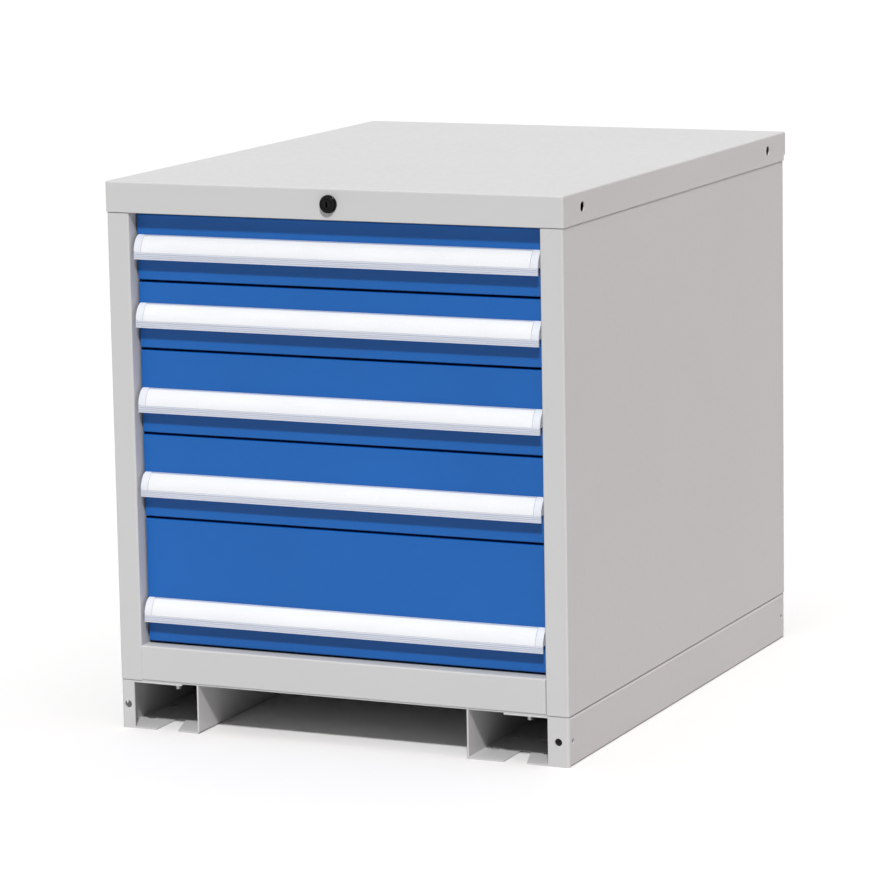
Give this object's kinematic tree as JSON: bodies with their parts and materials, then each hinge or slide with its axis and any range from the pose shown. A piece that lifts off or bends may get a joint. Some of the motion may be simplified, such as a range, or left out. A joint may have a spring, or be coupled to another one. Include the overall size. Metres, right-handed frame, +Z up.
{
  "type": "tool cabinet",
  "caption": "Low sheet-steel tool cabinet with full-width drawers on roller slides, hooked aluminium handles, a central lock and a base on two channels.",
  "frame": {"origin": "centre of the bounding box at floor level", "axes": "+Z up, +X to the viewer's right when facing the drawers, drawers open towards -Y"},
  "size_m": [0.574, 0.74, 0.65],
  "materials": {
    "housing_paint": "light grey powder coat, fine orange peel",
    "drawer_blue": "mid blue powder coat, satin",
    "tray_paint": "light grey powder coat",
    "handle_aluminium": "matt anodised extrusion",
    "label_white": "white strip with a soft gloss",
    "cap_plastic": "pale grey moulding",
    "zinc_steel": "bright zinc plate",
    "lock_black": "black, polished face"
  },
  "bodies": {
    "cabinet": {"right_side_panel": "housing_paint", "left_side_panel": "housing_paint", "back_panel": "housing_paint", "bottom_panel": "housing_paint", "front_bottom_rail": "housing_paint", "top_frame": "housing_paint", "top_cover": "housing_paint", "left_base_channel": "housing_paint", "right_base_channel": "housing_paint", "base_bolts": "zinc_steel", "base_nuts": "zinc_steel", "slotted_uprights": "zinc_steel", "lock_housing": "lock_black", "lock_nut": "zinc_steel", "lock_bar_guides": "zinc_steel", "cabinet_rails_1": "zinc_steel", "cabinet_rails_2": "zinc_steel", "cabinet_rails_3": "zinc_steel", "cabinet_rails_4": "zinc_steel", "cabinet_rails_5": "zinc_steel"},
    "drawer_1": {"tray_1": "tray_paint", "drawer_front_1": "drawer_blue", "handle_1": "handle_aluminium", "label_strip_1": "label_white", "handle_end_caps_1": "cap_plastic", "drawer_rails_1": "zinc_steel"},
    "drawer_2": {"tray_2": "tray_paint", "drawer_front_2": "drawer_blue", "handle_2": "handle_aluminium", "label_strip_2": "label_white", "handle_end_caps_2": "cap_plastic", "drawer_rails_2": "zinc_steel"},
    "drawer_3": {"tray_3": "tray_paint", "drawer_front_3": "drawer_blue", "handle_3": "handle_aluminium", "label_strip_3": "label_white", "handle_end_caps_3": "cap_plastic", "drawer_rails_3": "zinc_steel"},
    "drawer_4": {"tray_4": "tray_paint", "drawer_front_4": "drawer_blue", "handle_4": "handle_aluminium", "label_strip_4": "label_white", "handle_end_caps_4": "cap_plastic", "drawer_rails_4": "zinc_steel"},
    "drawer_5": {"tray_5": "tray_paint", "drawer_front_5": "drawer_blue", "handle_5": "handle_aluminium", "label_strip_5": "label_white", "handle_end_caps_5": "cap_plastic", "drawer_rails_5": "zinc_steel"},
    "middle_1": {"middle_rails_1": "zinc_steel"},
    "middle_2": {"middle_rails_2": "zinc_steel"},
    "middle_3": {"middle_rails_3": "zinc_steel"},
    "middle_4": {"middle_rails_4": "zinc_steel"},
    "middle_5": {"middle_rails_5": "zinc_steel"},
    "lock_plug": {"lock_plug": "lock_black", "lock_crank": "zinc_steel"},
    "lock_bar": {"lock_bar": "zinc_steel", "lock_catches": "zinc_steel"}
  },
  "joints": [
    {"name": "drawer_1_slide", "type": "slide", "parent": "cabinet", "child": "drawer_1", "axis": [0, -1, 0], "range_m": [0, 0.6]},
    {"name": "drawer_2_slide", "type": "slide", "parent": "cabinet", "child": "drawer_2", "axis": [0, -1, 0], "range_m": [0, 0.6]},
    {"name": "drawer_3_slide", "type": "slide", "parent": "cabinet", "child": "drawer_3", "axis": [0, -1, 0], "range_m": [0, 0.6]},
    {"name": "drawer_4_slide", "type": "slide", "parent": "cabinet", "child": "drawer_4", "axis": [0, -1, 0], "range_m": [0, 0.6]},
    {"name": "drawer_5_slide", "type": "slide", "parent": "cabinet", "child": "drawer_5", "axis": [0, -1, 0], "range_m": [0, 0.6]},
    {"name": "middle_1_slide", "type": "slide", "parent": "cabinet", "child": "middle_1", "axis": [0, -1, 0], "range_m": [0, 0.3]},
    {"name": "middle_2_slide", "type": "slide", "parent": "cabinet", "child": "middle_2", "axis": [0, -1, 0], "range_m": [0, 0.3]},
    {"name": "middle_3_slide", "type": "slide", "parent": "cabinet", "child": "middle_3", "axis": [0, -1, 0], "range_m": [0, 0.3]},
    {"name": "middle_4_slide", "type": "slide", "parent": "cabinet", "child": "middle_4", "axis": [0, -1, 0], "range_m": [0, 0.3]},
    {"name": "middle_5_slide", "type": "slide", "parent": "cabinet", "child": "middle_5", "axis": [0, -1, 0], "range_m": [0, 0.3]},
    {"name": "lock_bar_lift", "type": "slide", "parent": "cabinet", "child": "lock_bar", "axis": [0, 0, 1], "range_m": [0, 0.01]},
    {"name": "lock_turn", "type": "hinge", "parent": "cabinet", "child": "lock_plug", "pos_m": [0, -0.36, 0.632], "axis": [0, 1, 0], "range_deg": [0, 90]}
  ],
  "couplings": [
    {"joint": "middle_1_slide", "follows": "drawer_1_slide", "ratio": 0.5},
    {"joint": "middle_2_slide", "follows": "drawer_2_slide", "ratio": 0.5},
    {"joint": "middle_3_slide", "follows": "drawer_3_slide", "ratio": 0.5},
    {"joint": "middle_4_slide", "follows": "drawer_4_slide", "ratio": 0.5},
    {"joint": "middle_5_slide", "follows": "drawer_5_slide", "ratio": 0.5},
    {"joint": "lock_turn", "follows": "lock_bar_lift", "rad_per_m": 157}
  ]
}
